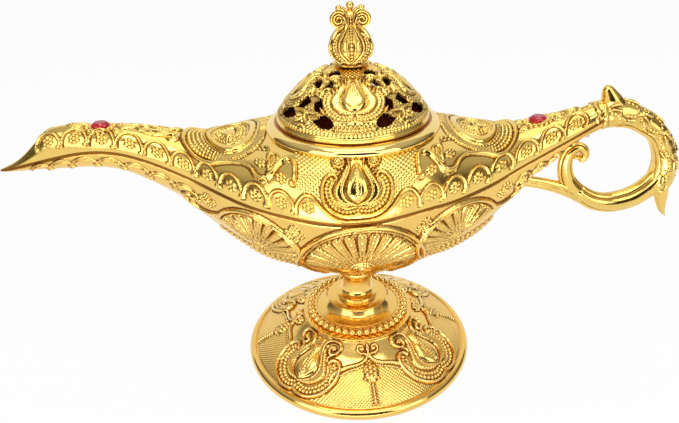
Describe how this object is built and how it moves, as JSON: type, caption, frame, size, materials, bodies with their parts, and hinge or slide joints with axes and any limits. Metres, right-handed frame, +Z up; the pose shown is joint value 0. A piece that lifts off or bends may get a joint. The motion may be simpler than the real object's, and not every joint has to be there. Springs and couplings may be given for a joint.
{
  "type": "oil lamp",
  "caption": "Long-spouted footed oil lamp with a pierced lift-off lid, a scrolled loop handle, two inset gems and raised ornament all over.",
  "frame": {"origin": "centre of the foot on the table", "axes": "+Z up, +X from the spout towards the handle, front of the lamp towards -Y"},
  "size_m": [0.2602, 0.0964, 0.1466],
  "materials": {
    "gold_upper": "bright gold plating over cast zinc alloy",
    "gold_lower": "bright warm gold plating over cast zinc alloy",
    "gold_polished": "mirror polished gold plating",
    "dish_brass": "satin spun brass",
    "zinc_steel": "zinc plated",
    "red_gem": "faceted red glass with a bright foil back"
  },
  "bodies": {
    "root": {"upper_shell": "gold_upper", "lower_shell": "gold_lower", "collar_ring": "gold_polished", "handle": "gold_upper", "stem": "gold_lower", "foot": "gold_lower", "gem_spout": "red_gem", "gem_tail": "red_gem", "inner_dish": "dish_brass", "tie_bolt": "zinc_steel", "tie_nut": "zinc_steel", "tie_washer": "zinc_steel", "handle_screws": "zinc_steel", "seam_dowels": "zinc_steel"},
    "lid": {"lid_dome": "gold_upper", "lid_skirt": "gold_polished", "finial": "gold_upper", "finial_screw": "zinc_steel", "finial_washer": "zinc_steel"}
  },
  "joints": [
    {"name": "lid_lift", "type": "slide", "parent": "root", "child": "lid", "axis": [0, 0, 1], "range_m": [0, 0.06]}
  ]
}
